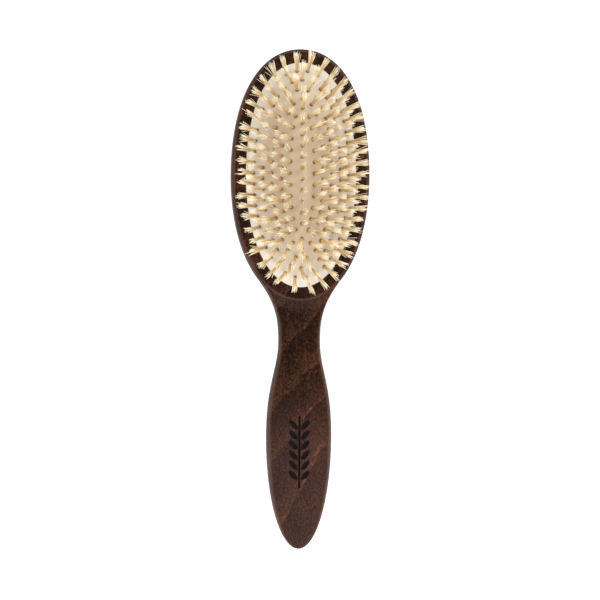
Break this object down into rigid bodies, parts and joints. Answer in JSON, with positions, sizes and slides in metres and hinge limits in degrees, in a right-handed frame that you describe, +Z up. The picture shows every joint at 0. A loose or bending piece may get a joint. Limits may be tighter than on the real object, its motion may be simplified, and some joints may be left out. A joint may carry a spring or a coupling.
{
  "type": "vanity hairbrush",
  "caption": "Oval paddle hairbrush: dark-stained beech body with a waisted handle, a domed rubber air cushion and rings of blond bristle tufts that sink when pressed.",
  "frame": {"origin": "under the middle of the brush's bounding box, on the surface the brush lies on with its bristles up", "axes": "+Z up along the bristles, +Y along the brush from the handle to the top of the head, X across it"},
  "size_m": [0.0656, 0.2351, 0.041],
  "materials": {
    "beech": "dark stained, satin",
    "rubber": "matt cream",
    "bristle": "natural blond boar bristle",
    "wire": "plain drawn"
  },
  "bodies": {
    "brush": {"wood_body": "beech", "cushion": "rubber"},
    "centre_row": {"tufts_centre": "bristle", "anchors_centre": "wire"},
    "ring_1": {"tufts_ring_1": "bristle", "anchors_ring_1": "wire"},
    "ring_2": {"tufts_ring_2": "bristle", "anchors_ring_2": "wire"},
    "ring_3": {"tufts_ring_3": "bristle", "anchors_ring_3": "wire"},
    "ring_4": {"tufts_ring_4": "bristle", "anchors_ring_4": "wire"},
    "ring_5": {"tufts_ring_5": "bristle", "anchors_ring_5": "wire"}
  },
  "joints": [
    {"name": "cushion_press", "type": "slide", "parent": "brush", "child": "centre_row", "axis": [0, 0, -1], "range_m": [0, 0.004], "stiffness_N_per_m": 2500, "deforming": ["cushion"]},
    {"name": "ring_1_sink", "type": "slide", "parent": "brush", "child": "ring_1", "axis": [0, 0, -1], "range_m": [0, 0.00383]},
    {"name": "ring_2_sink", "type": "slide", "parent": "brush", "child": "ring_2", "axis": [0, 0, -1], "range_m": [0, 0.00344]},
    {"name": "ring_3_sink", "type": "slide", "parent": "brush", "child": "ring_3", "axis": [0, 0, -1], "range_m": [0, 0.00283]},
    {"name": "ring_4_sink", "type": "slide", "parent": "brush", "child": "ring_4", "axis": [0, 0, -1], "range_m": [0, 0.00202]},
    {"name": "ring_5_sink", "type": "slide", "parent": "brush", "child": "ring_5", "axis": [0, 0, -1], "range_m": [0, 0.001]}
  ],
  "couplings": [
    {"joint": "ring_1_sink", "follows": "cushion_press", "ratio": 0.95679},
    {"joint": "ring_2_sink", "follows": "cushion_press", "ratio": 0.85855},
    {"joint": "ring_3_sink", "follows": "cushion_press", "ratio": 0.70777},
    {"joint": "ring_4_sink", "follows": "cushion_press", "ratio": 0.50445},
    {"joint": "ring_5_sink", "follows": "cushion_press", "ratio": 0.24859}
  ]
}
